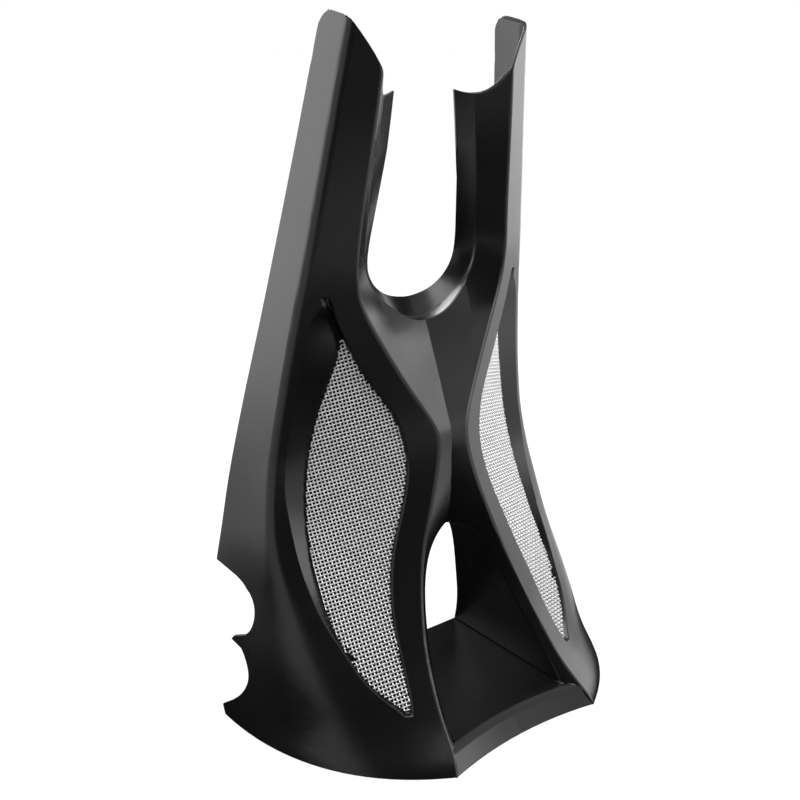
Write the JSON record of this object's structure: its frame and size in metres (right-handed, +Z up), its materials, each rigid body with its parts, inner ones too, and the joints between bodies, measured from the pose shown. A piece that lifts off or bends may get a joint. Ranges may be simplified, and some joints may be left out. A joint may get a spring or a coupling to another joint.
{
  "type": "motorcycle chin spoiler",
  "caption": "Moulded chin spoiler with upswept arms, a low air scoop through the middle and a woven wire mesh in each side, for the front of a motorcycle's frame.",
  "frame": {"origin": "middle of the width and of the depth, on the plane of the bottom rim", "axes": "+X to the part's right as seen from in front, +Y to the rear, +Z up; the part mirrors across X = 0"},
  "size_m": [0.3548, 0.22, 0.5539],
  "materials": {
    "shell": "satin black",
    "mesh": "bright woven wire"
  },
  "bodies": {
    "root": {"shell": "shell", "right_mesh": "mesh", "left_mesh": "mesh"}
  },
  "joints": []
}
